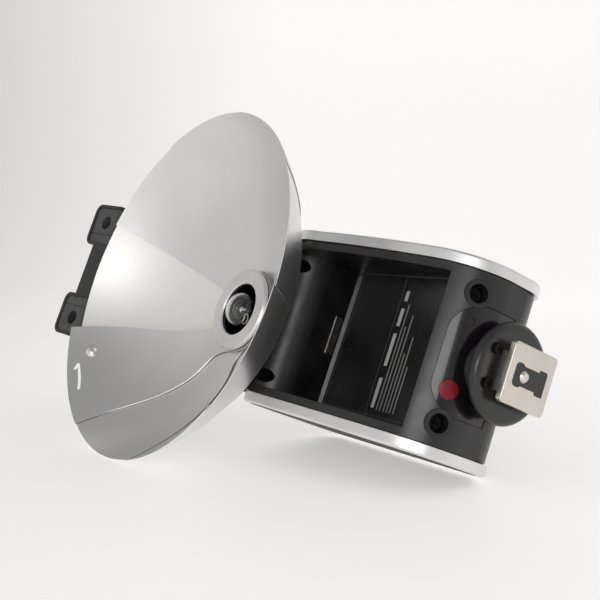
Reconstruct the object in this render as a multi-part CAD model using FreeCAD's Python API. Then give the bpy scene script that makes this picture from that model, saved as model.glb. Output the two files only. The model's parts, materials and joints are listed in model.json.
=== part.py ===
"""Camera flash gun with a folding fan reflector, unfolded.

Millimetres. +Z up, origin at the centre of the shoe foot's underside, -Y to the front,
where the reflector opens. The body stands on the foot, the lid stands on the body's top
edge and carries the lamp and the fan: one fixed sector and eight blades on one hub.
"""
import FreeCAD
import Part
import math
import os

from FreeCAD import Rotation, Vector

os.makedirs("parts", exist_ok=True)

# Shoe foot (standard accessory shoe)
FOOT_WIDTH, FOOT_FRONT, FOOT_BACK, FOOT_THICK, FOOT_EDGE, FOOT_CORNER = 18.6, -9.9, 10.0, 2.0, 0.45, 1.3
NECK_WIDTH, NECK_FRONT, NECK_BACK, NECK_TOP = 12.4, -7.4, 7.4, 5.0
CONTACT_Y, CONTACT_R, CONTACT_PROUD = -2.4, 1.9, 0.5

# Block round the contact: a front end, a waist and a wider back end
FRONT_HALF, FRONT_Y, WAIST_HALF, KEY_HALF, KEY_Y = 3.6, (-7.3, -3.2), 3.0, 3.9, (3.2, 7.2)
CONTACT_TOP, SPRING_TURNS, SPRING_R, WIRE_R = 6.4, 3, 1.7, 0.25
FOOT_SCREWS, FOOT_SCREW_R = ((-5.3, -12.0), (5.3, -12.0), (-5.3, 10.6), (5.3, 10.6)), 1.7

# Pedestal under the body: a round flange on a narrower neck
PEDESTAL_Y, PEDESTAL_R, FLANGE_TOP, PEDESTAL_NECK_R = -2.0, 15.8, 9.0, 10.8
FLANGE_ROUND, FLANGE_WIDEST_Z = 2.3, 7.1

# Body
SHELL_HALF = 27.4          # half width of the black shells
FRAME_IN, FRAME_OUT, FRAME_EDGE = 27.6, 31.3, 0.9
PANEL_SEAT, PANEL_BORDER = 30.6, 2.6   # leatherette let into each silver side frame
SPLIT_Y = 2.0              # where the front shell meets the back shell
WALL = 2.0
BACK_FACE_Y = 13.0

RECESS_HALF = 24.8         # half width of the recess the folded fan lies in
SENSOR_HALF, SENSOR_Y, SENSOR_CORNER = 17.6, (-19.4, 1.0), 9.6   # infrared window, from below
LENS_AT, LENS_AXIS, LENS_R = (-10, -13.8, 17.5), (0, 0.5, 0.87), 3.0
SENSOR_HOLE_X, SENSOR_HOLE_R = 11.8, 1.2

# Lid hinge, along X
HINGE_Y, HINGE_Z, KNUCKLE_R, PIN_R, PIN_GAP = -30.5, 99.6, 3.0, 1.0, 0.05
BODY_KNUCKLE, LID_KNUCKLE = (25.0, 27.2), (22.4, 24.7)
LID_TRAVEL_DEG = 8.0

# Lid
LID_HALF, LID_WALL, LUG_IN, LUG_TOP, BAR_TOP, BAR_LOW = 27.8, 1.3, 10.5, 190.8, 184.5, 174.0
INSERT_THICK, LUG_SEAM_X, LUG_CORNER_R = 2.2, 15.2, 3.5

# Fan and lamp, about an axis along Y through the hub
HUB_Z = 111.4
FAN_Y = -27.2              # back face of the fixed sector's collar
RIM_R, COLLAR_R, COLLAR_BORE_R = 63.8, 15.6, 10.38
DISH_DEPTH, DISH_START_DEG = 34.6, 11.7   # the dish is an arc that leaves the collar at this slope
SHEET, PITCH = 0.28, 0.55  # thickness and spacing of the sheets along the axis
BLADES, SECTOR_DEG = 8, 40.0
SLEEVE_R, SLEEVE_BORE_R, FLANGE_R = 10.30, 9.8, 15.1
HUB_RING_R, HUB_RING_THICK = 15.4, 1.5
FAN_CLEAR = 0.8
STUD_R, STUD_DEG = 58.8, 328.2            # rivet on the first blade, from the hub
STUD_GAP = 0.07                           # keeps its flat foot off the curved sheet
GLASS_R, GLASS_WALL, DOME_Y = 7.1, 0.8, -30.6
TUBE_SPREAD, TUBE_R, TUBE_BASE_Y, TUBE_BEND_Y, TRIGGER_Y = 2.6, 1.5, -25.6, -31.4, -29.4
SOCKET_Y, HUB_BACK_Y = -24.0, -22.4

# Controls on the back
DIAL_Z, DIAL_R = 62.0, 13.5
BUTTON_X, BUTTON_Z, BUTTON_R = 15.0, 34.0, 3.6
SWITCH_X, SWITCH_Z, SWITCH_TRAVEL = -13.0, 34.0, 2.5
LAMP_X, LAMP_Z, LAMP_R = 15.0, 43.0, 1.6
PORT_X, PORT_Z = 14.0, 85.0
JACK_X, JACK_Z, JACK_R = -16.0, 85.0, 4.0

X, Y, Z = Vector(1, 0, 0), Vector(0, 1, 0), Vector(0, 0, 1)
FAR = 200.0

# Screw bores on the right side, as a point and a direction; each has a mirror image
SHOE_BORE = ((20.4, -15.2, 14.9), Vector(0, 0.45, 0.89))
HINGE_BORE = ((20.4, -27.5, 91.6), Vector(0, 1, 0))
LUG_BORE = ((20.4, -64.0, 181.6), Vector(0, 1, 0))

# Sheet outlines, as (radius, degrees from the sheet's middle), from collar to rim
OUT = RIM_R + 3
LEADING = ((13.0, 7), (23, 12.3), (31.6, 15.4), (43, 18.4), (56, 19.1), (OUT, 16.2))
TRAILING = ((15.0, -104), (15.9, -62), (17.0, -40), (19.6, -32.4), (26.8, -31), (35, -29.4), (45, -25.7),
            (55, -23.1), (OUT, -27.0))
STRAIGHT = ((13.0, -21), (38, -21.8), (OUT, -22))
FIXED_LEADING = ((13.0, 24), (38, 23.6), (OUT, 23.4))
FIXED_TRAILING = ((13.0, -34), (20, -36), (37, -31), (OUT, -29))


def save(name, *shapes):
    """One node: a solid, or a group of separate solids."""
    shape = shapes[0] if len(shapes) == 1 else Part.makeCompound(list(shapes))
    if len(shapes) == 1 and shape.ShapeType == "Compound" and len(shape.Solids) == 1:
        shape = shape.Solids[0]
    print(f"{name:22s} solids {len(shape.Solids)} valid {shape.isValid()} {shape.Volume:9.1f} mm3")
    shape.exportStep(f"parts/{name}.step")
    return shape


def outline(start, *steps, to3d=lambda a, b: Vector(0, a, b)):
    """A closed face. A step is an end point, or a point on an arc and its end point."""
    edges, here = [], to3d(*start)
    for step in steps + (start,):
        if isinstance(step[0], tuple):
            end = to3d(*step[1])
            edges.append(Part.Arc(here, to3d(*step[0]), end).toShape())
        else:
            end = to3d(*step)
            if here.distanceToPoint(end) > 1e-6:
                edges.append(Part.LineSegment(here, end).toShape())
        here = end
    return Part.Face(Part.Wire(edges))


def slab(face, x_low, x_high):
    """A YZ face made solid from x_low to x_high."""
    start = face.copy()
    start.translate(Vector(x_low, 0, 0))
    return start.extrude(Vector(x_high - x_low, 0, 0))


def moved(shape, x=0.0, y=0.0, z=0.0):
    copy = shape.copy()
    copy.translate(Vector(x, y, z))
    return copy


def box(x, y, z):
    """A box from three (low, high) pairs."""
    return Part.makeBox(x[1] - x[0], y[1] - y[0], z[1] - z[0], Vector(x[0], y[0], z[0]))


def rod(radius, start, end):
    """A cylinder between two points."""
    a, b = Vector(*start), Vector(*end)
    return Part.makeCylinder(radius, (b - a).Length, a, b - a)


def both_sides(shape):
    """The shape and its mirror image across the middle plane."""
    return [shape, shape.mirror(Vector(0, 0, 0), X)]


def about_hub(*profile):
    """A ring about the hub axis, from (radius, y) points."""
    face = outline(*profile, to3d=lambda r, y: Vector(r, y, HUB_Z))
    return face.revolve(Vector(0, 0, HUB_Z), Y, 360)


def about_z(centre_y, *profile):
    """A ring about an upright axis, from (radius, z) points."""
    face = outline(*profile, to3d=lambda r, z: Vector(r, centre_y, z))
    return face.revolve(Vector(0, centre_y, 0), Z, 360)


def turned_about_hinge(shape, degrees):
    copy = shape.copy()
    copy.rotate(Vector(0, HINGE_Y, HINGE_Z), X, degrees)
    return copy


# ---------------------------------------------------------------- outlines seen from the side
BODY = outline(
    (3, 12), (-3, 12), ((-17.5, 16.3), (-25.5, 27.5)), ((-31.3, 52), (-34.6, 77)),
    ((-32.9, 90.5), (-25.5, 97)), (4, 97), ((11.2, 94.2), (14, 88)), (14, 26), ((11.2, 16.2), (3, 12)),
)
SHELL = BODY.makeOffset2D(-1.0)
RECESS = outline(
    (-40, 23), (-21.5, 22.5), (-17.5, 26), (-15.5, 48), (-14, 72.5), (-5, 74.5), (-3.5, 77),
    (-3.5, 82.5), (-6, 85), (-17, 86.4), ((-26.1, 90.5), (-31.5, 99)), (-45, 99),
)
HOLLOW = outline(
    (6, 15.5), (-3, 15.5), ((-12.5, 19.6), (-15, 29)), (-13.4, 48), (-12.1, 70.5), (-1.7, 72.7),
    (-1.7, 87), (-20, 90.5), (-24, 94), (6, 94),
)
LID = outline(
    (-21.5, 102.6), (-34.5, 102.6), (-37.5, 108), (-59.5, 172), (-62, 175), (-64.6, LUG_TOP),
    (-56, LUG_TOP), ((-45.5, 183.5), (-37, 171)), ((-24.5, 142), (-19.5, 110)), (-19.5, 104.6),
)


DISH_CHORD = Vector(RIM_R - COLLAR_R, DISH_DEPTH, 0)
DISH_START = math.radians(DISH_START_DEG)
DISH_ARC_R = DISH_CHORD.Length / (2 * math.sin(math.atan2(DISH_CHORD.y, DISH_CHORD.x) - DISH_START))


def fan_depth(r):
    """How far forward of the collar the dish is at a radius, along its arc."""
    from_centre = r - COLLAR_R + DISH_ARC_R * math.sin(DISH_START)
    return DISH_ARC_R * math.cos(DISH_START) - math.sqrt(DISH_ARC_R ** 2 - from_centre ** 2)


def dish_section(y_back, thickness, r_in, r_out=RIM_R):
    """Collar and dish of one sheet, as a section in the (radius, y) plane."""
    mid = (r_out + COLLAR_R) / 2
    back = [(r, y_back - fan_depth(r)) for r in (mid, r_out)]
    front = [(r, y - thickness) for r, y in back]
    return [(r_in, y_back), (COLLAR_R, y_back), (back[0], back[1]), front[1],
            (front[0], (COLLAR_R, y_back - thickness)), (r_in, y_back - thickness)]


def fan_envelope(clear):
    """Everything the fan may sweep at rest, grown backwards by a clearance."""
    mid = (RIM_R + COLLAR_R) / 2
    y = FAN_Y + clear
    return about_hub(
        (0, y), (COLLAR_R + 1.2, y), ((mid, y - fan_depth(mid)), (RIM_R + 2, y - fan_depth(RIM_R + 2))),
        (RIM_R + 2, -FAR), (0, -FAR))


# ---------------------------------------------------------------- foot and pedestal
def insulator_block(grow, low, high):
    """The block round the contact: two rounded ends joined by a narrower waist."""
    ends = []
    for half, (near, far), corner in ((FRONT_HALF, FRONT_Y, 1.4), (KEY_HALF, KEY_Y, 0.8)):
        end = box((-half - grow, half + grow), (near - grow, far + grow), (low, high))
        ends.append(end.makeFillet(corner, [e for e in end.Edges if e.BoundBox.ZLength > 1]))
    waist = box((-WAIST_HALF - grow, WAIST_HALF + grow), (FRONT_Y[1] - 2, KEY_Y[0] + 2), (low, high))
    return ends[0].fuse([waist, ends[1]]).removeSplitter()


def make_foot():
    half = FOOT_WIDTH / 2
    plate = box((-half, half), (FOOT_FRONT, FOOT_BACK), (0, FOOT_THICK))
    upright = [e for e in plate.Edges if abs(e.tangentAt(e.FirstParameter).z) > 0.9]
    plate = plate.makeFillet(FOOT_CORNER, upright)
    under = [e for e in plate.Edges if e.BoundBox.ZMax < 0.01]
    plate = plate.makeFillet(FOOT_EDGE, under)
    neck = box((-NECK_WIDTH / 2, NECK_WIDTH / 2), (NECK_FRONT, NECK_BACK), (FOOT_THICK, NECK_TOP))
    save("foot_plate", plate.fuse(neck).removeSplitter().cut(insulator_block(0.0, 0.0, NECK_TOP)))
    bore = Part.makeCylinder(CONTACT_R + 0.08, NECK_TOP, Vector(0, CONTACT_Y, 0))
    save("foot_insulator", insulator_block(-0.05, 0.2, NECK_TOP).cut(bore))


def make_contact():
    collar_r, collar_z = CONTACT_R + 0.7, NECK_TOP + 0.2
    pin = about_z(CONTACT_Y, (0, -CONTACT_PROUD), (CONTACT_R - 0.7, -CONTACT_PROUD), (CONTACT_R, 0.2),
                  (CONTACT_R, collar_z), (collar_r, collar_z), (collar_r, CONTACT_TOP), (0, CONTACT_TOP))
    save("foot_contact", pin)
    rise, first = 0.62, CONTACT_TOP + 0.35
    rings = [Part.makeTorus(SPRING_R, WIRE_R, Vector(0, CONTACT_Y, first + rise * i))
             for i in range(SPRING_TURNS + 1)]
    save("contact_spring", *rings)


def make_pedestal():
    slant = 1 - math.sqrt(0.5)
    lower, upper = FLANGE_WIDEST_Z - NECK_TOP, FLANGE_TOP - FLANGE_WIDEST_Z
    ring = about_z(
        PEDESTAL_Y, (0, NECK_TOP), (PEDESTAL_R - FLANGE_ROUND, NECK_TOP),
        ((PEDESTAL_R - FLANGE_ROUND * slant, NECK_TOP + lower * slant), (PEDESTAL_R, FLANGE_WIDEST_Z)),
        ((PEDESTAL_R - upper * slant, FLANGE_TOP - upper * slant), (PEDESTAL_R - upper, FLANGE_TOP)),
        (PEDESTAL_NECK_R, FLANGE_TOP), (PEDESTAL_NECK_R, 19), (0, 19))
    wire_way = Part.makeCylinder(1.2, 12, Vector(0, CONTACT_Y, 8.6))
    inside_shell = slab(SHELL, -SHELL_HALF, SHELL_HALF)
    shape = ring.cut(Part.makeCylinder(3.0, 4.1, Vector(0, CONTACT_Y, NECK_TOP - 0.1)))
    shape = shape.cut(wire_way).cut(inside_shell)
    save("shoe_pedestal", max(shape.Solids, key=lambda s: s.Volume))
    heads = []
    for x, y in FOOT_SCREWS:
        head = rod(FOOT_SCREW_R, (x, y, NECK_TOP - 1.1), (x, y, NECK_TOP))
        cross = box((x - 1.1, x + 1.1), (y - 0.2, y + 0.2), (NECK_TOP - 1.2, NECK_TOP - 0.6))
        other = box((x - 0.2, x + 0.2), (y - 1.1, y + 1.1), (NECK_TOP - 1.2, NECK_TOP - 0.6))
        heads.append(head.cut(cross).cut(other))
    save("foot_screws", *heads)


# ---------------------------------------------------------------- body
def along(bore, distance):
    (x, y, z), way = bore
    return Vector(x, y, z) + Vector(way).normalize() * distance


def bored(bore, radius, first, last):
    """Cylinders along a bore and its mirror image, between two distances."""
    start, end = along(bore, first), along(bore, last)
    return both_sides(Part.makeCylinder(radius, last - first, start, end - start))


def screw_heads(bore, depth, radius):
    heads = []
    for sign in (1, -1):
        a, b = along(bore, depth), along(bore, depth + 1.8)
        a.x, b.x = sign * a.x, sign * b.x
        head = Part.makeCylinder(radius, 1.8, a, b - a)
        bits = Rotation(Z, b - a)
        for turn in (0, 90):
            slot = Part.makeBox(radius * 1.3, 0.5, 1.2, Vector(-radius * 0.65, -0.25, -0.3))
            slot.rotate(Vector(0, 0, 0), Z, turn)
            slot.Placement = FreeCAD.Placement(a, bits).multiply(slot.Placement)
            head = head.cut(slot)
        heads.append(head)
    return heads


def make_front_shell():
    shell = slab(SHELL, -SHELL_HALF, SHELL_HALF).common(box((-FAR, FAR), (-FAR, SPLIT_Y), (0, FAR)))
    shell = shell.cut(slab(HOLLOW, -SHELL_HALF + WALL, SHELL_HALF - WALL))
    for bore, radius in ((SHOE_BORE, 4.4), (HINGE_BORE, 3.6)):
        for post in bored(bore, radius, 0.6, 11.0):
            shell = shell.fuse(post)
    shell = shell.cut(slab(RECESS, -RECESS_HALF, RECESS_HALF))
    for bore, radius in ((SHOE_BORE, 3.0), (HINGE_BORE, 2.4)):
        for hole in bored(bore, radius, -6.0, 8.0):
            shell = shell.cut(hole)
    ears = slab(outline((HINGE_Y - KNUCKLE_R, HINGE_Z), (HINGE_Y + KNUCKLE_R, HINGE_Z),
                        (HINGE_Y + KNUCKLE_R + 2, 95), (HINGE_Y - 1, 91)), *BODY_KNUCKLE)
    barrel = rod(KNUCKLE_R, (BODY_KNUCKLE[0], HINGE_Y, HINGE_Z), (BODY_KNUCKLE[1], HINGE_Y, HINGE_Z))
    for ear in both_sides(ears.fuse(barrel)):
        shell = shell.fuse(ear)
    pin_hole = rod(PIN_R + PIN_GAP, (-FAR, HINGE_Y, HINGE_Z), (FAR, HINGE_Y, HINGE_Z))
    shell = shell.cut(pin_hole)
    for turn in (0, LID_TRAVEL_DEG / 2, LID_TRAVEL_DEG):
        shell = shell.cut(turned_about_hinge(fan_envelope(FAN_CLEAR), turn))
    shell = shell.cut(sensor_pocket(0.0))
    shell = shell.removeSplitter()
    save("front_shell", max(shell.Solids, key=lambda s: s.Volume))
    save("shell_screws", *(screw_heads(SHOE_BORE, 6.2, 2.7) + screw_heads(HINGE_BORE, 6.2, 2.2)))


def sensor_face(grow):
    """The infrared window's outline, seen from below."""
    wide, front, back = SENSOR_HALF + grow, SENSOR_Y[0] - grow, SENSOR_Y[1] + grow
    corner, bend = SENSOR_CORNER, SENSOR_CORNER * (1 - math.sqrt(0.5))
    return outline(
        (-wide, back), (-wide, front + corner), ((bend - wide, front + bend), (corner - wide, front)),
        (wide - corner, front), ((wide - bend, front + bend), (wide, front + corner)), (wide, back),
        to3d=lambda x, y: Vector(x, y, 0))


def sensor_pocket(inset):
    """The layer under the window's outline that the window fills."""
    column = sensor_face(-inset).extrude(Vector(0, 0, 40))
    outer, inner = slab(SHELL, -FAR, FAR), slab(SHELL.makeOffset2D(-1.2 + inset), -FAR, FAR)
    return column.common(outer).cut(inner)


def make_sensor_window():
    window = sensor_pocket(0.05).common(slab(SHELL.makeOffset2D(-0.3), -FAR, FAR))
    hole = rod(SENSOR_HOLE_R, (SENSOR_HOLE_X, -18, 9), (SENSOR_HOLE_X, -10, 22))
    pedestal = Part.makeCylinder(PEDESTAL_NECK_R + 0.1, 30, Vector(0, PEDESTAL_Y, 0))
    lens_axis = Vector(*LENS_AXIS)
    lens = Part.makeCylinder(LENS_R, 8, Vector(*LENS_AT) - lens_axis * 4, lens_axis)
    window = window.cut(hole).cut(pedestal)
    save("sensor_window", max(window.cut(lens).Solids, key=lambda s: s.Volume))
    eye = lens.common(slab(SHELL.makeOffset2D(-0.1), -FAR, FAR))
    eye = eye.cut(slab(SHELL.makeOffset2D(-1.1), -FAR, FAR))
    eye = eye.cut(pedestal).common(sensor_pocket(0.05))
    save("sensor_lens", max(eye.Solids, key=lambda s: s.Volume))


def make_catch_plate():
    """Steel strip for the lid's magnet, on the recess's upper wall."""
    near, far, thick = (-6.8, 85.10), (-9.8, 85.48), 0.4
    face = outline(near, far, (far[0], far[1] - thick), (near[0], near[1] - thick))
    save("catch_plate", slab(face, -6.0, 8.0))


def make_back_shell():
    shell = slab(SHELL, -SHELL_HALF, SHELL_HALF).common(box((-FAR, FAR), (SPLIT_Y, FAR), (0, FAR)))
    rear = [e for e in shell.Edges if e.BoundBox.YMin > 11.5 and e.BoundBox.XLength < 0.01]
    shell = shell.makeFillet(0.8, rear) if rear else shell
    inner = slab(SHELL.makeOffset2D(-WALL), -SHELL_HALF + WALL, SHELL_HALF - WALL)
    shell = shell.cut(inner.common(box((-FAR, FAR), (SPLIT_Y - 1, FAR), (0, FAR))))
    shell = shell.cut(rod(DIAL_R + 0.5, (0, BACK_FACE_Y - 1.0, DIAL_Z), (0, FAR, DIAL_Z)))
    shell = shell.cut(rod(3.3, (0, 0, DIAL_Z), (0, FAR, DIAL_Z)))
    shell = shell.cut(rod(BUTTON_R + 0.3, (BUTTON_X, 5, BUTTON_Z), (BUTTON_X, FAR, BUTTON_Z)))
    shell = shell.cut(rod(LAMP_R + 0.05, (LAMP_X, 5, LAMP_Z), (LAMP_X, FAR, LAMP_Z)))
    half = SWITCH_TRAVEL + 2.3
    shell = shell.cut(box((SWITCH_X - half, SWITCH_X + half), (5, FAR), (SWITCH_Z - 1.8, SWITCH_Z + 1.8)))
    shell = shell.cut(box((PORT_X - 4.6, PORT_X + 4.6), (5, FAR), (PORT_Z - 1.8, PORT_Z + 1.8)))
    shell = shell.cut(rod(JACK_R + 0.05, (JACK_X, 5, JACK_Z), (JACK_X, FAR, JACK_Z)))
    save("back_shell", max(shell.removeSplitter().Solids, key=lambda s: s.Volume))


def make_side_frames():
    frame = slab(BODY, FRAME_IN, FRAME_OUT)
    outer = [e for e in frame.Edges if e.BoundBox.XMin > FRAME_OUT - 0.01]
    frame = frame.makeFillet(FRAME_EDGE, outer)
    frame = frame.cut(slab(BODY.makeOffset2D(-PANEL_BORDER), PANEL_SEAT, FAR))
    panel = slab(BODY.makeOffset2D(-PANEL_BORDER - 0.06), PANEL_SEAT, FRAME_OUT + 0.1)
    for side, sign in (("right", 1), ("left", -1)):
        for name, part in (("side_frame_" + side, frame), ("side_panel_" + side, panel)):
            save(name, part if sign > 0 else part.mirror(Vector(0, 0, 0), X))


def make_hinge_pins():
    pin = rod(PIN_R, (LID_KNUCKLE[0] - 0.4, HINGE_Y, HINGE_Z), (BODY_KNUCKLE[1], HINGE_Y, HINGE_Z))
    for turn in (0, LID_TRAVEL_DEG):
        pin = pin.cut(turned_about_hinge(fan_envelope(-2 * PITCH), turn))
    save("hinge_pins", *both_sides(pin))


# ---------------------------------------------------------------- inside the body
def make_electronics():
    board_y = 3.6
    board = box((-24.5, 24.5), (board_y, board_y + 1.4), (22, 91))
    save("circuit_board", board.cut(rod(4.6, (0, 0, DIAL_Z), (0, 9, DIAL_Z))))
    cell = box((-24.2, 2.0), (-10.8, -0.4), (25.4, 70))
    cell = cell.makeFillet(1.5, [e for e in cell.Edges if e.BoundBox.ZLength > 20])
    save("battery", cell)
    save("battery_foam", box((-22, -5), (-0.4, 3.6), (30, 66)))
    save("main_capacitor", about_capacitor())
    save("trigger_coil", trigger_coil())
    encoder = rod(4.3, (0, board_y - 0.4, DIAL_Z), (0, 8.4, DIAL_Z))
    save("dial_encoder", encoder.cut(rod(2.08, (0, 5.6, DIAL_Z), (0, 9, DIAL_Z))))
    board_back = board_y + 1.4
    save("button_switch", box((BUTTON_X - 3, BUTTON_X + 3), (board_back, 7.4), (BUTTON_Z - 3, BUTTON_Z + 3)))
    save("slide_switch",
         box((SWITCH_X - 6, SWITCH_X + 6), (board_back, 8.2), (SWITCH_Z - 2.6, SWITCH_Z + 2.6)))


def about_capacitor():
    x, y, r, low, high = 14.0, -5.2, 6.2, 26.0, 68.0
    can = rod(r, (x, y, low), (x, y, high))
    rims = [e for e in can.Edges if e.BoundBox.ZLength < 0.01]
    can = can.makeFillet(0.8, rims)
    groove = Part.makeTorus(r + 0.2, 0.6, Vector(x, y, high - 5))
    return can.cut(groove)


def trigger_coil():
    core = rod(2.2, (8, 1.2, 83), (20, 1.2, 83))
    flanges = [rod(3.2, (x, 1.2, 83), (x + 1.2, 1.2, 83)) for x in (8, 18.8)]
    shape = core
    for flange in flanges:
        shape = shape.fuse(flange)
    return shape.removeSplitter().common(box((-FAR, FAR), (-1.5, 3.4), (0, FAR)))


# ---------------------------------------------------------------- controls on the back
def make_controls():
    make_dial()
    plate = rod(20.0, (0, BACK_FACE_Y, DIAL_Z), (0, BACK_FACE_Y + 0.5, DIAL_Z))
    save("scale_plate", plate.cut(rod(DIAL_R + 0.5, (0, 10, DIAL_Z), (0, 20, DIAL_Z))))
    button = rod(BUTTON_R, (BUTTON_X, 9.0, BUTTON_Z), (BUTTON_X, 14.6, BUTTON_Z))
    button = button.makeFillet(0.7, [e for e in button.Edges if e.BoundBox.YMin > 14.5])
    stem = rod(1.6, (BUTTON_X, 8.5, BUTTON_Z), (BUTTON_X, 9.0, BUTTON_Z))
    flange = rod(BUTTON_R + 0.8, (BUTTON_X, 9.0, BUTTON_Z), (BUTTON_X, 10.0, BUTTON_Z))
    save("test_button", button.fuse(flange).fuse(stem).removeSplitter())
    knob = box((SWITCH_X - 2.2, SWITCH_X + 2.2), (8.4, 14.2), (SWITCH_Z - 1.6, SWITCH_Z + 1.6))
    for x in (SWITCH_X - 1.2, SWITCH_X, SWITCH_X + 1.2):
        knob = knob.cut(box((x - 0.25, x + 0.25), (13.7, 15), (SWITCH_Z - 2, SWITCH_Z + 2)))
    save("mode_switch", knob)
    lens = rod(LAMP_R, (LAMP_X, 10.6, LAMP_Z), (LAMP_X, 13.4, LAMP_Z))
    lens = lens.makeFillet(0.6, [e for e in lens.Edges if e.BoundBox.YMin > 13.3])
    save("pilot_lamp", lens)
    save("usb_port", usb_port())
    jack = rod(JACK_R, (JACK_X, 8.0, JACK_Z), (JACK_X, 13.3, JACK_Z))
    save("sync_jack", jack.cut(rod(1.3, (JACK_X, 8.8, JACK_Z), (JACK_X, 15, JACK_Z))))


def make_dial():
    low, high = BACK_FACE_Y - 0.8, BACK_FACE_Y + 3.4
    disc = rod(DIAL_R - 0.5, (0, low, DIAL_Z), (0, high, DIAL_Z))
    disc = disc.makeChamfer(0.6, [e for e in disc.Edges if e.BoundBox.YMin > high - 0.01])
    teeth = 36
    for i in range(teeth):
        a = 2 * math.pi * i / teeth
        tooth = rod(0.55, ((DIAL_R - 0.6) * math.cos(a), low, DIAL_Z + (DIAL_R - 0.6) * math.sin(a)),
                    ((DIAL_R - 0.6) * math.cos(a), high - 1.0, DIAL_Z + (DIAL_R - 0.6) * math.sin(a)))
        disc = disc.fuse(tooth)
    shaft = rod(2.0, (0, 6.0, DIAL_Z), (0, low, DIAL_Z))
    mark = box((-0.35, 0.35), (high - 0.3, high + 1), (DIAL_Z + 5, DIAL_Z + 11.5))
    save("power_dial", disc.fuse(shaft).cut(mark).removeSplitter())


def usb_port():
    def oval(half, tall, y_low, y_high):
        ends = (PORT_X - half + tall, PORT_X + half - tall)
        flat = box(ends, (y_low, y_high), (PORT_Z - tall, PORT_Z + tall))
        for x in ends:
            flat = flat.fuse(rod(tall, (x, y_low, PORT_Z), (x, y_high, PORT_Z)))
        return flat.removeSplitter()
    tongue = box((PORT_X - 3.2, PORT_X + 3.2), (7.6, 12.0), (PORT_Z - 0.35, PORT_Z + 0.35))
    return oval(4.5, 1.6, 7.0, 13.0).cut(oval(4.15, 1.25, 7.6, 14)).fuse(tongue)


# ---------------------------------------------------------------- lid
def lid_block(inset):
    """The lid's outer form, shrunk by an inset: full height at the lugs, lower between them."""
    face = LID.makeOffset2D(-inset) if inset else LID
    half = LID_HALF - inset
    block = slab(face, -half, half)
    gap = LUG_IN + inset
    return block.cut(box((-gap, gap), (-FAR, FAR), (BAR_TOP - inset, FAR)))


def round_corners(block, radius):
    """Rounds the lugs' outer and inner corners at the lid's free end."""
    corner = [e for e in block.Edges
              if e.BoundBox.ZMin > LUG_TOP - 0.6 - 2 * LID_WALL and e.BoundBox.YLength > 3]
    return block.makeFillet(radius, corner)


def make_lid():
    envelope = fan_envelope(FAN_CLEAR)
    outer = round_corners(lid_block(0.0), LUG_CORNER_R)
    inner = round_corners(lid_block(LID_WALL), LUG_CORNER_R - LID_WALL)
    open_front = inner.fuse([moved(inner, y=-6 * i) for i in (1, 2, 3)])
    bar = outer.common(box((-LUG_IN - 1, LUG_IN + 1), (-FAR, FAR), (BAR_LOW, BAR_TOP)))
    bar = bar.cut(moved(outer, y=5.0))
    cover = outer.cut(open_front).fuse(bar).cut(envelope)
    cover = cover.cut(rod(FLANGE_R + 0.3, (0, -60, HUB_Z), (0, -22.2, HUB_Z)))
    save("lid_cover", max(cover.removeSplitter().Solids, key=lambda s: s.Volume))

    snug = round_corners(lid_block(LID_WALL + 0.05), LUG_CORNER_R - LID_WALL - 0.05)
    solid = snug.fuse(moved(snug, y=0.3 - LID_WALL)).cut(envelope)
    frame = solid.cut(moved(solid, y=INSERT_THICK))
    frame = frame.cut(box((-LUG_IN - 1.05, LUG_IN + 1.05), (-FAR, FAR), (BAR_LOW - 0.05, FAR)))
    for seam in both_sides(box((LUG_SEAM_X, LUG_SEAM_X + 0.3), (-FAR, FAR), (BAR_LOW, FAR))):
        groove = seam.common(solid).cut(moved(solid, y=0.35))
        frame = frame.cut(groove)
    frame = max(frame.Solids, key=lambda s: s.Volume)
    for post in bored(LUG_BORE, 4.2, 0.6, 9.5):
        frame = frame.fuse(post.common(snug))
    for hole in bored(LUG_BORE, 2.8, -4.0, 7.0):
        frame = frame.cut(hole)
    front, back, arm_top = HINGE_Y - KNUCKLE_R, HINGE_Y + KNUCKLE_R, 108
    arm = slab(outline((front, HINGE_Z), (back, HINGE_Z), (back, arm_top), (HINGE_Y - 0.5, arm_top),
                       (front, arm_top - 5)), *LID_KNUCKLE)
    barrel = rod(KNUCKLE_R, (LID_KNUCKLE[0], HINGE_Y, HINGE_Z), (LID_KNUCKLE[1], HINGE_Y, HINGE_Z))
    knuckle = arm.fuse(barrel).cut(outer.cut(snug))
    for side in both_sides(knuckle.cut(envelope)):
        frame = frame.fuse(side)
    frame = frame.cut(rod(PIN_R + PIN_GAP, (-FAR, HINGE_Y, HINGE_Z), (FAR, HINGE_Y, HINGE_Z)))
    frame = frame.cut(rod(14.1, (0, -60, HUB_Z), (0, -20, HUB_Z))).cut(envelope)
    save("lid_frame", max(frame.removeSplitter().Solids, key=lambda s: s.Volume))
    save("lid_screws", *screw_heads(LUG_BORE, 5.2, 2.5))


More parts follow.
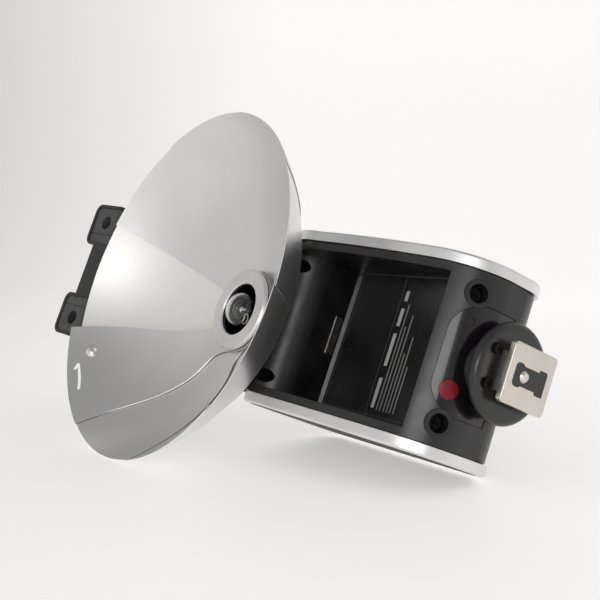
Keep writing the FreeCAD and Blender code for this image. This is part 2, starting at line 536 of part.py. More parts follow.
# ---------------------------------------------------------------- lamp and hub
def make_lamp():
    flange_y = FAN_Y + 3.0
    save("hub_base", about_hub((SLEEVE_R, FAN_Y), (13.9, FAN_Y), (13.9, flange_y), (FLANGE_R, flange_y),
                               (FLANGE_R, HUB_BACK_Y), (SLEEVE_R, HUB_BACK_Y)))
    last = FAN_Y - BLADES * PITCH - SHEET
    ring_back = last - 0.32
    save("hub_sleeve", about_hub((SLEEVE_BORE_R, HUB_BACK_Y), (SLEEVE_R, HUB_BACK_Y), (SLEEVE_R, ring_back),
                                 (SLEEVE_BORE_R, ring_back)))
    face = ring_back - HUB_RING_THICK
    ring = about_hub((SLEEVE_BORE_R, ring_back), (HUB_RING_R, ring_back), (HUB_RING_R, face + 0.6),
                     (HUB_RING_R - 0.6, face), (SLEEVE_BORE_R + 0.4, face), (SLEEVE_BORE_R, face + 0.4))
    for quarter in range(4):
        notch = polar((HUB_RING_R + SLEEVE_BORE_R) / 2 - 0.8, 90 * quarter)
        ring = ring.cut(rod(0.55, (notch.x, face - 1, notch.z), (notch.x, face + 0.5, notch.z)))
    save("hub_ring", ring)
    cup_r, cup_bore, cup_y = 9.4, GLASS_R + 0.2, -27.0
    save("bulb_socket", about_hub((0, HUB_BACK_Y), (cup_r, HUB_BACK_Y), (cup_r, cup_y), (cup_bore, cup_y),
                                  (cup_bore, SOCKET_Y), (0, SOCKET_Y)))
    bore, slant = GLASS_R - GLASS_WALL, math.sqrt(0.5)
    dome = (GLASS_R * slant, DOME_Y - GLASS_R * slant)
    inner = (bore * slant, DOME_Y - bore * slant)
    save("bulb_glass", about_hub((bore, SOCKET_Y), (GLASS_R, SOCKET_Y), (GLASS_R, DOME_Y),
                                 (dome, (0, DOME_Y - GLASS_R)), (0, DOME_Y - bore), (inner, (bore, DOME_Y))))
    save("flash_tube", flash_tube())
    caps = [rod(1.9, (x, SOCKET_Y, HUB_Z), (x, TUBE_BASE_Y, HUB_Z)) for x in (-TUBE_SPREAD, TUBE_SPREAD)]
    save("electrode_caps", *caps)
    save("trigger_wire", Part.makeTorus(TUBE_R + 0.35, 0.25, Vector(-TUBE_SPREAD, TRIGGER_Y, HUB_Z), Y))


def flash_tube():
    """A U of glass tube: two legs along Y and a half ring."""
    base = [Vector(x, TUBE_BASE_Y, HUB_Z) for x in (-TUBE_SPREAD, TUBE_SPREAD)]
    bend = [Vector(x, TUBE_BEND_Y, HUB_Z) for x in (-TUBE_SPREAD, TUBE_SPREAD)]
    tip = Vector(0, TUBE_BEND_Y - TUBE_SPREAD, HUB_Z)
    path = Part.Wire([Part.LineSegment(base[0], bend[0]).toShape(), Part.Arc(bend[0], tip, bend[1]).toShape(),
                      Part.LineSegment(bend[1], base[1]).toShape()])
    circle = Part.Wire(Part.makeCircle(TUBE_R, base[0], Y))
    return path.makePipeShell([circle], True, False)


# ---------------------------------------------------------------- fan
def polar(r, degrees):
    """A point in the XZ plane; degrees run from up towards the right."""
    a = math.radians(degrees)
    return Vector(r * math.sin(a), 0, HUB_Z + r * math.cos(a))


def smooth(points):
    curve = Part.BSplineCurve()
    curve.interpolate(points)
    return curve.toShape()


def sector(centre, leading, trailing):
    """A sheet's outline: its collar's disc and a sector between two edges.

    Each edge is a list of (radius, degrees from the sector's centre).
    """
    lead = [polar(r, centre + d) for r, d in leading]
    trail = [polar(r, centre + d) for r, d in trailing]
    rim = Part.Arc(lead[-1], polar(leading[-1][0], centre + (leading[-1][1] + trailing[-1][1]) / 2),
                   trail[-1]).toShape()
    back = Part.LineSegment(trail[0], lead[0]).toShape()
    wire = Part.Wire([smooth(lead), rim, smooth(trail[::-1]), back])
    face = Part.Face(wire)
    plate = moved(face, y=20).extrude(Vector(0, -120, 0))
    disc = Part.makeCylinder(COLLAR_R + 0.15, 120, Vector(0, 20, HUB_Z), Vector(0, -1, 0))
    return plate.fuse(disc)


def make_sheet(layer, centre, leading, trailing):
    section = dish_section(FAN_Y - layer * PITCH, SHEET, COLLAR_BORE_R)
    sheet = about_hub(*section).common(sector(centre, leading, trailing))
    return max(sheet.Solids, key=lambda s: s.Volume)


def make_fan():
    save("fixed_sector", make_sheet(0, 0.0, FIXED_LEADING, FIXED_TRAILING))
    for number in range(1, BLADES + 1):
        layer = BLADES + 1 - number
        trailing = TRAILING if number < BLADES else STRAIGHT
        save(f"blade_{number}", make_sheet(layer, layer * SECTOR_DEG, LEADING, trailing))
    save("blade_stud", blade_stud())


def blade_stud():
    """A domed rivet near the first blade's rim, square to the sheet."""
    foot = polar(STUD_R, STUD_DEG)
    foot.y = FAN_Y - BLADES * PITCH - SHEET - fan_depth(STUD_R)
    step = 0.5
    slope = (fan_depth(STUD_R + step) - fan_depth(STUD_R - step)) / (2 * step)
    out = polar(1, STUD_DEG) - Vector(0, 0, HUB_Z)
    normal = Vector(-out.x * slope, -1, -out.z * slope).normalize()
    head = Part.makeSphere(3.1, Vector(0, 0, -1.75))
    head = head.common(Part.makeCylinder(2.6, 4, Vector(0, 0, STUD_GAP)))
    collar = Part.makeCylinder(1.8, 0.5, Vector(0, 0, STUD_GAP))
    stud = head.fuse(collar).removeSplitter()
    stud.Placement = FreeCAD.Placement(foot, Rotation(Z, normal))
    return stud


make_foot()
make_contact()
make_pedestal()
make_front_shell()
make_sensor_window()
make_catch_plate()
make_back_shell()
make_side_frames()
make_hinge_pins()
make_electronics()
make_controls()
make_lid()
make_lamp()
make_fan()
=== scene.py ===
"""Looks of the flash gun with the folding fan reflector: materials, small pieces, studio.

Metres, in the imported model's frame: +Z up from the shoe foot, -Y to the front. The flash lies
on its -X side, so the floor is a tilted plane there.
"""
import json
import math

import bmesh
import bpy
import numpy
from mathutils import Matrix, Vector
from mathutils.bvhtree import BVHTree


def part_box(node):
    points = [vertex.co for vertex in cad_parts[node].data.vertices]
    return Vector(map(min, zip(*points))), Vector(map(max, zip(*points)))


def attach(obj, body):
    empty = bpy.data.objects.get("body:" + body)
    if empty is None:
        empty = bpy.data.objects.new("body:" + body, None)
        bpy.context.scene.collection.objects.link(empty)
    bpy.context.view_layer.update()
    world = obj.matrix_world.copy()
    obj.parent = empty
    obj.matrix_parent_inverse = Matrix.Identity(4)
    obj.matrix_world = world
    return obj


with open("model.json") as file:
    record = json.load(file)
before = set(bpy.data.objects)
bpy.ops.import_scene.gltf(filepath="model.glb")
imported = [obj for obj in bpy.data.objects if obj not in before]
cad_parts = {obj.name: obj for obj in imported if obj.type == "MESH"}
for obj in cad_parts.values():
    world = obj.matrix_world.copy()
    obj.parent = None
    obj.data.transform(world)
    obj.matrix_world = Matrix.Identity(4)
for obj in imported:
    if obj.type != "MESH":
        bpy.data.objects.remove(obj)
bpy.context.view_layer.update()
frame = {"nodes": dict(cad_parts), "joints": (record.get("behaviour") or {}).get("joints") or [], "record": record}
NODES = frame["nodes"]
JOINTS = {j["name"]: j for j in frame["joints"]}
MM = 0.001

HUB_Z = JOINTS["blade_1_turn"]["pos_m"][2]
BLADES, SECTOR_DEG, RIM_R = 8, 40.0, -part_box("blade_2")[0].x
DROP_START = 0.3             # how far outside the surface a dropped point starts
SMOOTH_BELOW_DEG = 32.0      # edges that bend more than this stay sharp
BEVEL_SAMPLES = 6
METAL_EDGE = 0.0003          # radius of a metal's softened edges
PLASTIC_EDGE = 0.00025
PLASTIC_WEAR = 0.02          # how far worn edges go towards the paler tone
WORN_RANGE = (0.02, 0.25)    # bends from here to there count as no edge to a full edge


class Drop:
    """Drops points along a direction on to a CAD node's surface."""

    def __init__(self, node, way):
        self.way = Vector(way).normalized()
        work = bmesh.new()
        work.from_mesh(NODES[node].data)
        self.tree = BVHTree.FromBMesh(work)
        work.free()

    def __call__(self, point):
        return self.tree.ray_cast(Vector(point) - self.way * DROP_START, self.way)[0]


# ------------------------------------------------------------------ node material helpers
class Shader:
    """A material's node tree, with short calls for the nodes used here."""

    def __init__(self, name):
        self.material = bpy.data.materials.new(name)
        self.material.use_nodes = True
        self.tree = self.material.node_tree
        self.bsdf = self.tree.nodes["Principled BSDF"]
        self.output = self.tree.nodes["Material Output"]

    def node(self, kind, **settings):
        made = self.tree.nodes.new(kind)
        for key, value in settings.items():
            setattr(made, key, value)
        return made

    def link(self, a, b):
        self.tree.links.new(a, b)

    def set(self, **values):
        for key, value in values.items():
            self.bsdf.inputs[key.replace("_", " ")].default_value = value

    def coords(self, scale=(1, 1, 1)):
        where = self.node("ShaderNodeTexCoord")
        mapping = self.node("ShaderNodeMapping")
        mapping.inputs["Scale"].default_value = scale
        self.link(where.outputs["Object"], mapping.inputs["Vector"])
        return mapping.outputs["Vector"]

    def noise(self, scale, detail=3.0, coords=None, roughness=0.5):
        made = self.node("ShaderNodeTexNoise")
        made.inputs["Scale"].default_value = scale
        made.inputs["Detail"].default_value = detail
        made.inputs["Roughness"].default_value = roughness
        self.link(coords or self.coords(), made.inputs["Vector"])
        return made.outputs["Fac"]

    def cells(self, scale, feature="F1"):
        made = self.node("ShaderNodeTexVoronoi", feature=feature)
        made.inputs["Scale"].default_value = scale
        self.link(self.coords(), made.inputs["Vector"])
        return made.outputs["Distance"]

    def ramp(self, value, *stops):
        """Stops are (position, grey)."""
        made = self.node("ShaderNodeValToRGB")
        while len(made.color_ramp.elements) < len(stops):
            made.color_ramp.elements.new(0.5)
        for element, (position, tone) in zip(made.color_ramp.elements, stops):
            element.position = position
            element.color = grey(tone)
        self.link(value, made.inputs["Fac"])
        return made.outputs["Color"]

    def scaled(self, value, low, high, start=0.0, end=1.0):
        made = self.node("ShaderNodeMapRange")
        made.inputs["From Min"].default_value = start
        made.inputs["From Max"].default_value = end
        made.inputs["To Min"].default_value = low
        made.inputs["To Max"].default_value = high
        self.link(value, made.inputs["Value"])
        return made.outputs["Result"]

    def mix(self, factor, a, b):
        made = self.node("ShaderNodeMix", data_type="RGBA")
        for socket, value in (("Factor", factor), ("A", a), ("B", b)):
            target = [i for i in made.inputs if i.name == socket and i.type in ("VALUE", "RGBA")]
            target = target[0] if socket == "Factor" else target[-1]
            if isinstance(value, (tuple, float, int)):
                target.default_value = value
            else:
                self.link(value, target)
        return [o for o in made.outputs if o.type == "RGBA"][0]

    def bump(self, height, distance, strength=0.5, normal=None):
        made = self.node("ShaderNodeBump")
        made.inputs["Distance"].default_value = distance
        made.inputs["Strength"].default_value = strength
        self.link(height, made.inputs["Height"])
        if normal:
            self.link(normal, made.inputs["Normal"])
        return made.outputs["Normal"]

    def soft_edges(self, radius):
        made = self.node("ShaderNodeBevel", samples=BEVEL_SAMPLES)
        made.inputs["Radius"].default_value = radius
        return made.outputs["Normal"]

    def worn_edges(self, radius):
        """0 on flat stretches, 1 along sharp edges."""
        flat = self.node("ShaderNodeNewGeometry")
        dot = self.node("ShaderNodeVectorMath", operation="DOT_PRODUCT")
        self.link(self.soft_edges(radius), dot.inputs[0])
        self.link(flat.outputs["Normal"], dot.inputs[1])
        low, high = WORN_RANGE
        return self.scaled(dot.outputs["Value"], 1.0, 0.0, 1 - high, 1 - low)

    def colour(self, value):
        self.link(value, self.bsdf.inputs["Base Color"])

    def rough(self, value):
        self.link(value, self.bsdf.inputs["Roughness"])

    def normal(self, value):
        self.link(value, self.bsdf.inputs["Normal"])


def grey(value):
    return (value, value, value, 1)


def darker(colour):
    return tuple(c * 0.8 for c in colour[:3]) + (1,)


# ------------------------------------------------------------------ materials, one per slot
def plastic(name, tone, rough, grain_scale, grain_height, gloss=0.5):
    """Moulded plastic: spark-eroded grain, softened edges that are a little polished."""
    s = Shader(name)
    fine = s.noise(grain_scale, 4.0, roughness=0.6)
    broad = s.noise(120.0, 3.0)
    worn = s.worn_edges(PLASTIC_EDGE)
    base = s.mix(s.scaled(broad, 0.0, 1.0, 0.35, 0.65), grey(tone * 0.85), grey(tone * 1.2))
    s.colour(s.mix(s.scaled(worn, 0.0, PLASTIC_WEAR), base, grey(min(1.0, tone * 6 + 0.05))))
    s.rough(s.scaled(broad, rough - 0.05, rough + 0.06, 0.3, 0.7))
    s.normal(s.bump(fine, grain_height, 0.5, s.soft_edges(PLASTIC_EDGE)))
    s.set(Specular_IOR_Level=gloss)
    return s.material


def metal(name, tone, rough, brush=None, tint=(1.0, 1.0, 1.0), scratch=0.03):
    """Metal with a fine finish; brush gives the scale of the strokes along each axis."""
    s = Shader(name)
    stroke = s.noise(1.0, 4.0, s.coords(brush or (2500, 2500, 2500)), 0.6)
    broad = s.noise(60.0, 3.0)
    light = tuple(tone * 1.05 * t for t in tint) + (1,)
    dark = tuple(tone * 0.93 * t for t in tint) + (1,)
    s.colour(s.mix(s.scaled(broad, 0.0, 1.0, 0.3, 0.7), dark, light))
    s.rough(s.scaled(stroke, rough - 0.05, rough + 0.07, 0.3, 0.7))
    s.normal(s.bump(stroke, 0.00002, scratch * 8, s.soft_edges(METAL_EDGE)))
    s.set(Metallic=1.0)
    return s.material


def polar_coords(s, radial, turning):
    """Coordinates about the hub: radius times one scale, angle times another."""
    where = s.node("ShaderNodeTexCoord")
    parts = s.node("ShaderNodeSeparateXYZ")
    s.link(where.outputs["Object"], parts.inputs["Vector"])
    level = s.node("ShaderNodeMath", operation="SUBTRACT")
    s.link(parts.outputs["Z"], level.inputs[0])
    level.inputs[1].default_value = HUB_Z
    flat = s.node("ShaderNodeCombineXYZ")
    s.link(parts.outputs["X"], flat.inputs["X"])
    s.link(level.outputs["Value"], flat.inputs["Y"])
    length = s.node("ShaderNodeVectorMath", operation="LENGTH")
    s.link(flat.outputs["Vector"], length.inputs[0])
    angle = s.node("ShaderNodeMath", operation="ARCTAN2")
    s.link(parts.outputs["X"], angle.inputs[0])
    s.link(level.outputs["Value"], angle.inputs[1])
    out = s.node("ShaderNodeCombineXYZ")
    for part, factor, socket in ((length, radial, "X"), (angle, turning, "Y")):
        times = s.node("ShaderNodeMath", operation="MULTIPLY")
        s.link(part.outputs["Value"], times.inputs[0])
        times.inputs[1].default_value = factor
        s.link(times.outputs["Value"], out.inputs[socket])
    return out.outputs["Vector"]


def blade_metal(name, tone, rough):
    """Pressed and blasted aluminium sheet, with a faint turning lay about the hub."""
    s = Shader(name)
    lay = s.noise(1.0, 3.0, polar_coords(s, 5000, 6), 0.55)
    blast = s.noise(4200.0, 2.0)
    broad = s.noise(28.0, 3.0)
    s.colour(s.mix(s.scaled(broad, 0.0, 1.0, 0.3, 0.7), grey(tone * 0.95), grey(tone * 1.04)))
    s.rough(s.scaled(lay, rough - 0.04, rough + 0.05, 0.3, 0.7))
    s.normal(s.bump(blast, 0.000012, 0.35))
    s.set(Metallic=1.0)
    return s.material


def grained_metal(name):
    """The fixed sector: bright sheet with a coarse sparkling grain."""
    s = Shader(name)
    grain = s.cells(4600.0)
    fleck = s.noise(3600.0, 2.0)
    s.colour(s.mix(s.scaled(fleck, 0.0, 1.0, 0.35, 0.65), (0.86, 0.85, 0.815, 1), (0.97, 0.96, 0.925, 1)))
    s.rough(s.scaled(fleck, 0.52, 0.40, 0.35, 0.65))
    s.normal(s.bump(grain, 0.00003, 0.5))
    s.set(Metallic=0.75)
    return s.material


def window(name, colour, rough=0.08, coat=0.5):
    """Dark tinted glossy plastic."""
    s = Shader(name)
    haze = s.noise(260.0, 2.0)
    s.rough(s.scaled(haze, rough, rough + 0.06, 0.3, 0.7))
    s.colour(s.mix(haze, colour, darker(colour)))
    s.normal(s.soft_edges(0.0003))
    s.set(Coat_Weight=coat, Coat_Roughness=0.06, IOR=1.45)
    return s.material


def clear_glass(name):
    """Clear glass with faint smears."""
    s = Shader(name)
    s.set(Base_Color=(0.97, 0.98, 0.985, 1), IOR=1.47, Transmission_Weight=1.0)
    smear = s.noise(180.0, 2.0)
    s.rough(s.scaled(smear, 0.0, 0.05, 0.5, 0.8))
    return s.material


def leatherette(name):
    """Black leather-grained sheet: cells with rounded tops and fine creases."""
    s = Shader(name)
    warp = s.noise(500.0, 2.0)
    cells = s.cells(850.0, "DISTANCE_TO_EDGE")
    small = s.cells(2100.0, "DISTANCE_TO_EDGE")
    height = s.ramp(cells, (0.0, 0.0), (0.12, 0.75), (0.5, 1.0))
    fine = s.ramp(small, (0.0, 0.3), (0.2, 1.0))
    both = s.mix(0.35, height, fine)
    s.colour(s.mix(s.scaled(warp, 0.0, 1.0, 0.3, 0.7), grey(0.018), grey(0.030)))
    s.rough(s.scaled(cells, 0.62, 0.42, 0.0, 0.3))
    s.normal(s.bump(both, 0.00012, 0.8))
    return s.material


def plain(name, colour, rough, metallic=0.0, grain=900.0, height=0.00001, coat=0.0):
    """Small inner pieces: a tint with some variation and a fine grain."""
    s = Shader(name)
    spots = s.noise(grain, 3.0)
    s.colour(s.mix(s.scaled(spots, 0.0, 1.0, 0.3, 0.7), darker(colour), colour))
    s.rough(s.scaled(spots, rough - 0.04, rough + 0.06, 0.3, 0.7))
    s.normal(s.bump(spots, height, 0.4, s.soft_edges(0.00015)))
    s.set(Metallic=metallic, Coat_Weight=coat)
    return s.material


def wound_copper(name):
    """Lacquered wire wound about X."""
    s = Shader(name)
    wave = s.node("ShaderNodeTexWave", bands_direction="X")
    wave.inputs["Scale"].default_value = 1300.0
    wave.inputs["Distortion"].default_value = 0.4
    s.link(s.coords(), wave.inputs["Vector"])
    s.colour(s.mix(wave.outputs["Fac"], (0.28, 0.10, 0.03, 1), (0.62, 0.27, 0.11, 1)))
    s.normal(s.bump(wave.outputs["Fac"], 0.0001, 0.8))
    s.set(Metallic=0.9, Roughness=0.3)
    return s.material


def circuit_green(name):
    """Solder mask over faint copper tracks."""
    s = Shader(name)
    tracks = s.node("ShaderNodeTexBrick")
    tracks.inputs["Scale"].default_value = 260.0
    tracks.inputs["Mortar Size"].default_value = 0.04
    s.link(s.coords(), tracks.inputs["Vector"])
    s.colour(s.mix(tracks.outputs["Fac"], (0.012, 0.10, 0.035, 1), (0.03, 0.19, 0.07, 1)))
    s.normal(s.bump(tracks.outputs["Fac"], 0.00003, 0.6))
    s.set(Roughness=0.32, Coat_Weight=0.4)
    return s.material


MATERIALS = {
    "nickel_steel": lambda n: metal(n, 0.70, 0.30, (1800, 1800, 1800), (1.0, 0.94, 0.86)),
    "black_plastic": lambda n: plastic(n, 0.012, 0.30, 2600.0, 0.00001, 0.62),
    "gloss_black": lambda n: plastic(n, 0.010, 0.22, 2600.0, 0.000006),
    "satin_black": lambda n: plastic(n, 0.055, 0.30, 2800.0, 0.000012),
    "anodised_black": lambda n: metal(n, 0.018, 0.33),
    "black_steel": lambda n: metal(n, 0.018, 0.45),
    "dark_window": lambda n: window(n, (0.008, 0.006, 0.008, 1), 0.16),
    "red_window": lambda n: window(n, (0.24, 0.004, 0.014, 1), 0.24, coat=0.0),
    "satin_silver": lambda n: metal(n, 0.82, 0.36, (2600, 2600, 300)),
    "brushed_silver": lambda n: blade_metal(n, 0.80, 0.33),
    "grained_silver": grained_metal,
    "chrome": lambda n: metal(n, 0.86, 0.10, scratch=0.005),
    "leatherette": leatherette,
    "green_board": circuit_green,
    "blue_sleeve": lambda n: plain(n, (0.03, 0.09, 0.32, 1), 0.30, coat=0.3),
    "black_foam": lambda n: plain(n, (0.03, 0.03, 0.03, 1), 0.9, height=0.0001),
    "black_sleeve": lambda n: plain(n, (0.02, 0.02, 0.025, 1), 0.25, coat=0.4),
    "copper_coil": wound_copper,
    "grey_plastic": lambda n: plastic(n, 0.16, 0.38, 2600.0, 0.00001),
    "dial_metal": lambda n: metal(n, 0.58, 0.28, (3000, 300, 3000)),
    "scale_black": lambda n: plastic(n, 0.014, 0.33, 3000.0, 0.000006),
    "clear_glass": clear_glass,
}
made_materials = {}


def material_for(slot):
    if slot not in made_materials:
        made_materials[slot] = MATERIALS[slot](slot)
    return made_materials[slot]


def smooth_by_angle(obj):
    """Shades smooth, and keeps edges that bend more than SMOOTH_BELOW_DEG."""
    mesh = obj.data
    work = bmesh.new()
    work.from_mesh(mesh)
    limit = math.radians(SMOOTH_BELOW_DEG)
    sharp = {}
    for edge in work.edges:
        sharp[edge.index] = not (len(edge.link_faces) == 2 and edge.calc_face_angle(0.0) < limit)
    work.free()
    mesh.shade_smooth()
    attribute = mesh.attributes.get("sharp_edge")
    if not attribute:
        attribute = mesh.attributes.new("sharp_edge", "BOOLEAN", "EDGE")
    for edge in mesh.edges:
        attribute.data[edge.index].value = sharp[edge.index]


def dress_cad_nodes():
    """Gives each CAD node its slot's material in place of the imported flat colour."""
    slots = {s["node"]: s["material_slot"] for s in frame["record"]["subparts"]}
    for name, obj in NODES.items():
        made = material_for(slots[name])
        if not obj.material_slots:
            obj.data.materials.append(made)
        for slot in obj.material_slots:
            slot.material = made
        smooth_by_angle(obj)


def add_object(name, data):
    made = bpy.data.objects.new(name, data)
    bpy.context.scene.collection.objects.link(made)
    return made


# ------------------------------------------------------------------ marks
NUMERAL_TOP, NUMERAL_FLAG, NUMERAL_FOOT = (61.6, -37.0), (62.3, -39.6), (61.7, -48.5)
NUMERAL_WIDTH = 0.00055
# A blade's trailing edge, as (radius in mm, degrees from the blade's middle)
TRAILING_EDGE = ((19.6, -32.4), (26.8, -31.0), (35.0, -29.4), (45.0, -25.7), (55.0, -23.1), (66.8, -27.0))
EDGE_WITHIN_DEG = 1.6                     # how near to that a vertex of the edge lies
# Painted highlights along the blades' trailing edges: which blades get one, and the strip's width and lift in
# metres
EDGE_HIGHLIGHT_BLADES, EDGE_HIGHLIGHT_WIDTH, EDGE_HIGHLIGHT_LIFT = (1, 2, 3), 0.0007, 0.00008
EDGE_HIGHLIGHT_INSET, EDGE_HIGHLIGHT_STEP = 0.45, 0.8           # millimetres: in from the edge, and between its points
LABEL_HALF, LABEL_RISE = 0.0235, (0.024, 0.048, 0.0715)
LABEL_HEADS = ((45.2, -21.0, -11.0), (45.2, -7.0, 4.0), (45.2, 6.5, 12.5), (45.2, 15.0, 18.5))
LABEL_BARS = ((42.6, -21.5, 14.0), (40.9, -21.5, 6.5), (39.0, -21.5, 10.5), (37.3, -21.5, -2.0),
              (35.6, -21.5, 3.5), (33.9, -21.5, -6.0))     # height, start and end in mm
TICKS, TICK_START_DEG, TICK_STEP_DEG = 25, -150, 12.5
TICK_IN, TICK_OUT, TICK_OUT_LONG, TICK_WIDTH = 0.0149, 0.0166, 0.0181, 0.00035


def spread(a, b, pieces):
    """Points evenly spaced from a to b."""
    a, b = Vector(a), Vector(b)
    return [a.lerp(b, i / pieces) for i in range(pieces + 1)]


def strips_for_print_and_highlights(name, lines, width, drop, body, material, lift=0.00003):
    """Thin strips on a surface, for print and for the painted edge highlights, each a closed strip that stands
    proud by lift, in one piece.
    """
    work = bmesh.new()
    for points in lines:
        rows = []
        for i, here in enumerate(points):
            ahead = points[min(i + 1, len(points) - 1)] - points[max(i - 1, 0)]
            aside = ahead.cross(drop.way).normalized() * width / 2
            rows.append([work.verts.new(drop(here + side) - drop.way * up) for side, up in
                         ((-aside, lift), (aside, lift), (aside, -lift / 2), (-aside, -lift / 2))])
        for a, b in zip(rows, rows[1:]):
            for k in range(4):
                work.faces.new((a[k], a[(k + 1) % 4], b[(k + 1) % 4], b[k]))
        work.faces.new(rows[0][::-1])
        work.faces.new(rows[-1])
    bmesh.ops.recalc_face_normals(work, faces=work.faces)
    mesh = bpy.data.meshes.new(name)
    work.to_mesh(mesh)
    work.free()
    mesh.materials.append(material)
    piece = add_object(name, mesh)
    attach(piece, body)


def ink(name, tone, glow=0.0):
    """Printing ink; glow keeps a pale one bright against metal."""
    made = plain(name, grey(tone), 0.5, grain=1800.0)
    shader = made.node_tree.nodes["Principled BSDF"]
    shader.inputs["Emission Color"].default_value = grey(1.0)
    shader.inputs["Emission Strength"].default_value = glow
    return made


def about_hub(r_mm, degrees):
    """A point in front of the fan; degrees run from +Z towards +X."""
    a = math.radians(degrees)
    return Vector((r_mm * MM * math.sin(a), 0, HUB_Z + r_mm * MM * math.cos(a)))


def add_numeral():
    """The plain 1 near the first blade's rim."""
    top, flag, foot = [about_hub(*at) for at in (NUMERAL_TOP, NUMERAL_FLAG, NUMERAL_FOOT)]
    lines = [spread(top, foot, 16), spread(flag, top, 5)]
    drop = Drop("blade_1", (0, 1, 0))
    strips_for_print_and_highlights("blade_numeral", lines, NUMERAL_WIDTH, drop, "blade_1", ink("white_ink", 0.95, 0.3))


def corner_points(mesh):
    """The vertices along a sheet's cut edges, where the mesh is open or sharp."""
    work = bmesh.new()
    work.from_mesh(mesh)
    found = {v.index: v.co.copy() for e in work.edges
             if e.is_boundary or e.calc_face_angle(0.0) > 1.0 for v in e.verts}
    work.free()
    return found.values()


def add_painted_edge_highlights():
    """Painted highlights: bright metal strips along the trailing edges of the lower blades, in place of the light
    their edges catch.
    """
    # A brighter metal than the blades, which paints the highlight along each edge
    painted_highlight = metal("painted_highlight_metal", 0.95, 0.30, scratch=0.01)
    for number in EDGE_HIGHLIGHT_BLADES:
        name = f"blade_{number}"
        middle = (BLADES + 1 - number) * SECTOR_DEG
        edge = []
        for co in corner_points(NODES[name].data):
            x, z = co.x, co.z - HUB_Z
            radius = math.hypot(x, z) / MM
            turn = (math.degrees(math.atan2(x, z)) - middle + 180) % 360 - 180
            expected = numpy.interp(radius, *zip(*TRAILING_EDGE))
            inside = TRAILING_EDGE[0][0] < radius < RIM_R / MM - EDGE_HIGHLIGHT_INSET
            if inside and abs(turn - expected) < EDGE_WITHIN_DEG:
                edge.append((radius, turn))
        points = []
        for radius, turn in sorted(edge):
            if not points or radius - points[-1][0] > EDGE_HIGHLIGHT_STEP:
                points.append((radius, turn + math.degrees(EDGE_HIGHLIGHT_INSET / radius)))
        line = [about_hub(radius, middle + turn) for radius, turn in points]
        drop = Drop(name, (0, 1, 0))
        strips_for_print_and_highlights(name + "_hem", [line], EDGE_HIGHLIGHT_WIDTH, drop, name, painted_highlight, EDGE_HIGHLIGHT_LIFT)


def add_label():
    """The rating label on the recess floor: a hairline frame and plain bars in place of its text."""
    drop = Drop("front_shell", (0, 1, 0))
    bottom, _, top = LABEL_RISE
    frame_lines = [spread((x, 0, bottom), (x, 0, top), 24) for x in (-LABEL_HALF, LABEL_HALF)]
    frame_lines += [spread((-LABEL_HALF, 0, z), (LABEL_HALF, 0, z), 2) for z in LABEL_RISE]
    strips_for_print_and_highlights("label_frame", frame_lines, 0.00025, drop, "body", ink("dim_ink", 0.10))
    for name, rows, width, tone in (("label_heads", LABEL_HEADS, 0.0017, 0.5),
                                    ("label_bars", LABEL_BARS, 0.0006, 0.24)):
        lines = [spread((a * MM, 0, z * MM), (b * MM, 0, z * MM), 2) for z, a, b in rows]
        strips_for_print_and_highlights(name, lines, width, drop, "body", ink(name + "_ink", tone))


def add_scale():
    """Pale ticks round the power dial, long at every third."""
    drop = Drop("scale_plate", (0, -1, 0))
    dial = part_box("power_dial")
    centre = (dial[0] + dial[1]) / 2
    ticks = []
    for i in range(TICKS):
        a = math.radians(TICK_START_DEG + TICK_STEP_DEG * i)
        way = Vector((math.sin(a), 0, math.cos(a)))
        end = TICK_OUT_LONG if i % 3 == 0 else TICK_OUT
        ticks.append(spread(centre + way * TICK_IN, centre + way * end, 2))
    strips_for_print_and_highlights("dial_ticks", ticks, TICK_WIDTH, drop, "body", ink("pale_ink", 0.7))


# ------------------------------------------------------------------ studio
CAMERA_AT = Vector((-37.5, -228.0, -196.9)) * MM
CAMERA_RIGHT = Vector((0.314, 0.749, -0.583))
CAMERA_AHEAD = Vector((0.130, 0.575, 0.808))
CAMERA_LENS = 60.15
TABLE_FRONT, TABLE_BACK, SWEEP_R, WALL_TOP, TABLE_HALF = -1.5, 0.55, 0.45, 1.0, 0.7
TABLE_GAP = 0.0004         # keeps the paper clear of what rests on it
TABLE_SHADE = (-0.75, -0.10)   # from here to there across, the paper goes from shade to full light
TABLE_GLOW = 0.40          # strength of the paper's own light
SHADED, PAPER_DIM, PAPER, PAPER_LIGHT = (
    (0.42, 0.41, 0.405, 1), (0.88, 0.865, 0.86, 1), (0.92, 0.91, 0.905, 1), (1.0, 0.975, 0.97, 1))
KEY_TARGET = Vector((0, -0.03, 0.09))
KEY_OFFSET, KEY_SIZE, KEY_WATTS = (-0.10, 0.30, -1.03), (0.66, 0.34), 2.5
SURROUND = (1.0, 0.985, 0.98, 1)


def facing(at, ahead, right):
    """A camera-like placement: looks along ahead, with right to the right."""
    back = -ahead.normalized()
    side = (right - back * right.dot(back)).normalized()
    up = back.cross(side)
    turn = Matrix((side, up, back)).transposed().to_4x4()
    return Matrix.Translation(at) @ turn


def add_camera():
    """The photo's viewpoint."""
    data = bpy.data.cameras.new("camera")
    data.lens = CAMERA_LENS
    data.sensor_width = 36.0
    data.clip_start, data.clip_end = 0.01, 20.0
    camera = add_object("camera", data)
    camera.matrix_world = facing(CAMERA_AT, CAMERA_AHEAD, CAMERA_RIGHT)
    bpy.context.scene.camera = camera


def resting_plane():
    """The table's normal and height: the flash lies on the fan's rim and its left frame's rear edge."""
    rim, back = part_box("blade_2")[0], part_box("side_frame_left")
    points = [Vector((rim.x, rim.y)), Vector((back[0].x, back[1].y))]
    along = (points[1] - points[0]).normalized()
    up = Vector((along.y, -along.x, 0.0)) if along.y > 0 else Vector((-along.y, along.x, 0.0))
    return up, points[0].dot(up.to_2d())


UP, TABLE_LEVEL = resting_plane()
ACROSS = CAMERA_RIGHT.normalized()
AWAY = UP.cross(ACROSS).normalized()


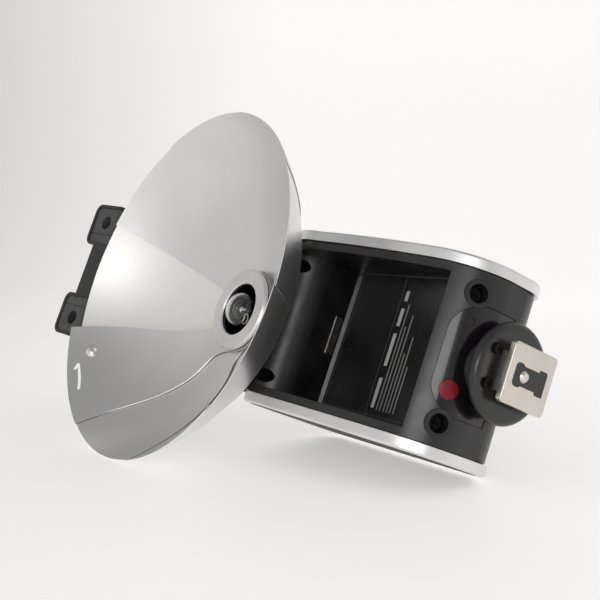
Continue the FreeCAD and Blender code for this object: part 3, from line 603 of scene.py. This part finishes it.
def add_table():
    """Pale paper that sweeps up behind the flash. Its back is clear, so it hides nothing from below."""
    turn = [math.radians(a) for a in range(0, 91, 5)]
    profile = [(TABLE_FRONT, 0.0)]
    profile += [(TABLE_BACK + SWEEP_R * math.sin(a), SWEEP_R * (1 - math.cos(a))) for a in turn]
    profile += [(TABLE_BACK + SWEEP_R, WALL_TOP)]
    side = AWAY.cross(UP)
    verts, faces = [], []
    for away, high in profile:
        for half in (-TABLE_HALF, TABLE_HALF):
            verts.append(tuple(UP * (TABLE_LEVEL - TABLE_GAP + high) + AWAY * away + side * half))
    for i in range(len(profile) - 1):
        faces.append((2 * i, 2 * i + 1, 2 * i + 3, 2 * i + 2))
    mesh = bpy.data.meshes.new("table")
    mesh.from_pydata(verts, [], faces)
    mesh.update()
    if mesh.polygons[0].normal.dot(UP) < 0:
        mesh.flip_normals()
    mesh.shade_smooth()
    table = add_object("table", mesh)
    table.data.materials.append(paper_material())


def paper_material():
    """Lit paper, shaded towards one side, and clear from behind."""
    s = Shader("table")
    sideways = s.node("ShaderNodeVectorMath", operation="DOT_PRODUCT")
    s.link(s.coords(), sideways.inputs[0])
    sideways.inputs[1].default_value = ACROSS
    lit = s.scaled(sideways.outputs["Value"], 0.0, 1.0, *TABLE_SHADE)
    cloud = s.noise(3.0, 3.0)
    s.colour(s.mix(lit, SHADED, s.mix(cloud, PAPER_DIM, PAPER)))
    s.link(s.mix(lit, SHADED, PAPER_LIGHT), s.bsdf.inputs["Emission Color"])
    s.set(Roughness=0.6, Emission_Strength=TABLE_GLOW)
    clear = s.node("ShaderNodeBsdfTransparent")
    side_of = s.node("ShaderNodeNewGeometry")
    choose = s.node("ShaderNodeMixShader")
    s.link(side_of.outputs["Backfacing"], choose.inputs["Fac"])
    s.link(s.bsdf.outputs["BSDF"], choose.inputs[1])
    s.link(clear.outputs["BSDF"], choose.inputs[2])
    s.link(choose.outputs["Shader"], s.output.inputs["Surface"])
    return s.material


def add_key_light():
    """A soft light aimed at the hub, its offset measured along ACROSS, UP and AWAY."""
    across, up, away = KEY_OFFSET
    at = KEY_TARGET + ACROSS * across + UP * up + AWAY * away
    data = bpy.data.lights.new("key", "AREA")
    data.shape = "RECTANGLE"
    data.size, data.size_y = KEY_SIZE
    data.energy = KEY_WATTS
    light = add_object("key", data)
    light.matrix_world = facing(at, KEY_TARGET - at, ACROSS)


def add_world():
    """A pale surround that is brightest to the left and right of the camera and dim overhead."""
    world = bpy.data.worlds.new("surround")
    bpy.context.scene.world = world
    world.use_nodes = True
    tree = world.node_tree
    background = tree.nodes["Background"]
    where = tree.nodes.new("ShaderNodeTexCoord")

    def lobe(direction, start, end, low, high):
        dot = tree.nodes.new("ShaderNodeVectorMath")
        dot.operation = "DOT_PRODUCT"
        dot.inputs[1].default_value = direction.normalized()
        tree.links.new(where.outputs["Generated"], dot.inputs[0])
        ramp = tree.nodes.new("ShaderNodeMapRange")
        ramp.interpolation_type = "SMOOTHSTEP"
        for socket, value in (("From Min", start), ("From Max", end), ("To Min", low), ("To Max", high)):
            ramp.inputs[socket].default_value = value
        tree.links.new(dot.outputs["Value"], ramp.inputs["Value"])
        return ramp.outputs["Result"]

    left = lobe(-ACROSS - AWAY * 0.45, 0.15, 0.95, 0.34, 0.64)
    right = lobe(ACROSS, 0.2, 0.9, 0.0, 0.36)
    plus = tree.nodes.new("ShaderNodeMath")
    plus.operation = "ADD"
    tree.links.new(left, plus.inputs[0])
    tree.links.new(right, plus.inputs[1])
    tree.links.new(plus.outputs["Value"], background.inputs["Strength"])
    background.inputs["Color"].default_value = SURROUND


dress_cad_nodes()
add_camera()
add_table()
add_world()
add_key_light()
add_numeral()
# Painted highlights along the lower blades' trailing edges
add_painted_edge_highlights()
add_label()
add_scale()
bpy.context.scene.view_settings.view_transform = "Standard"
